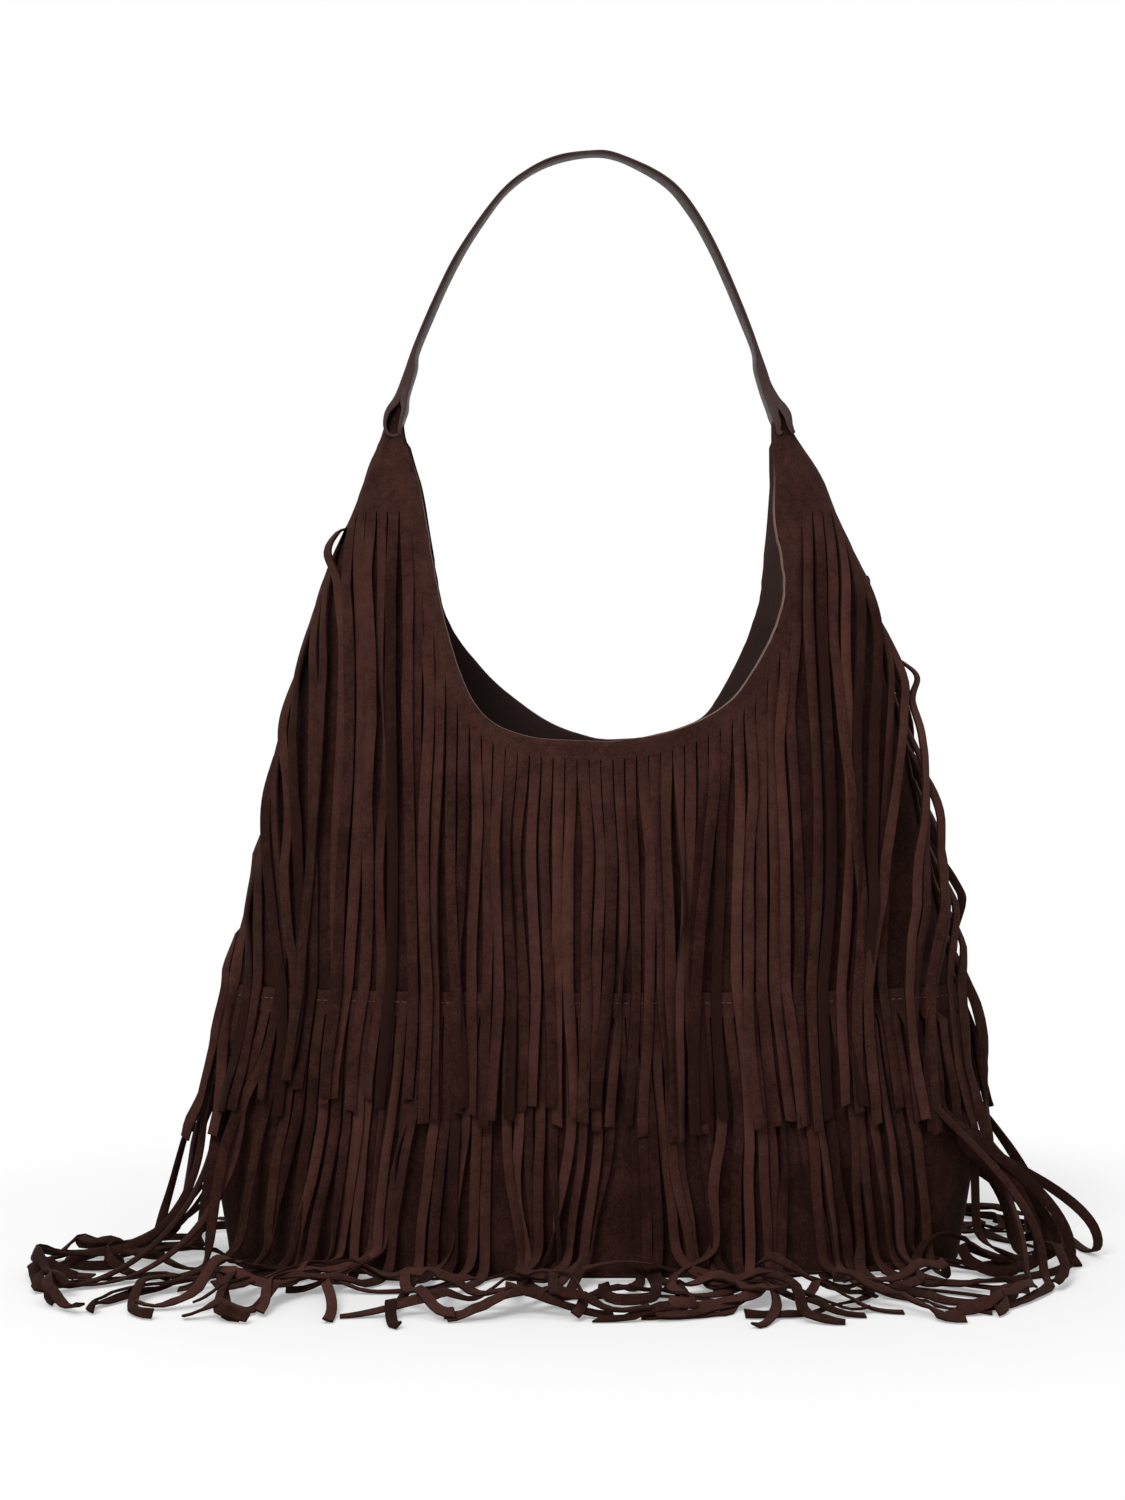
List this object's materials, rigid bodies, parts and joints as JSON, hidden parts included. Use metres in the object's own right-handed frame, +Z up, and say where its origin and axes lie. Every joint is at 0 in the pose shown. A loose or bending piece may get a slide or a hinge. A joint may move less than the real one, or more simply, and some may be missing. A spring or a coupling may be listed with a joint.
{
  "type": "shoulder bag",
  "caption": "Open-top suede shoulder bag with two tiers of long fringe, pointed sides and a curved two-ply leather strap, standing with its lower fringe spread on the floor.",
  "frame": {"origin": "centre of the bounding box on the floor, under the middle of the bag", "axes": "+X from the left to the right of the bag as seen from the front, -Y out of the front, +Z up to the strap"},
  "size_m": [0.5908, 0.3198, 0.552],
  "materials": {
    "suede": "matt brushed suede, dark brown",
    "suede_inside": "matt suede, a little darker",
    "lining": "plain woven lining, dark brown",
    "strap_leather": "smooth leather, soft sheen"
  },
  "bodies": {
    "root": {"base_panel": "suede", "front_panel": "suede_inside", "back_panel": "suede_inside", "front_closure_patch": "suede_inside", "back_closure_patch": "suede_inside", "base_lining": "lining", "front_lining": "lining", "back_lining": "lining", "front_lower_fringe": "suede", "back_lower_fringe": "suede", "front_upper_fringe": "suede", "back_upper_fringe": "suede", "strap_outer_ply": "strap_leather", "strap_inner_ply": "strap_leather"}
  },
  "joints": []
}
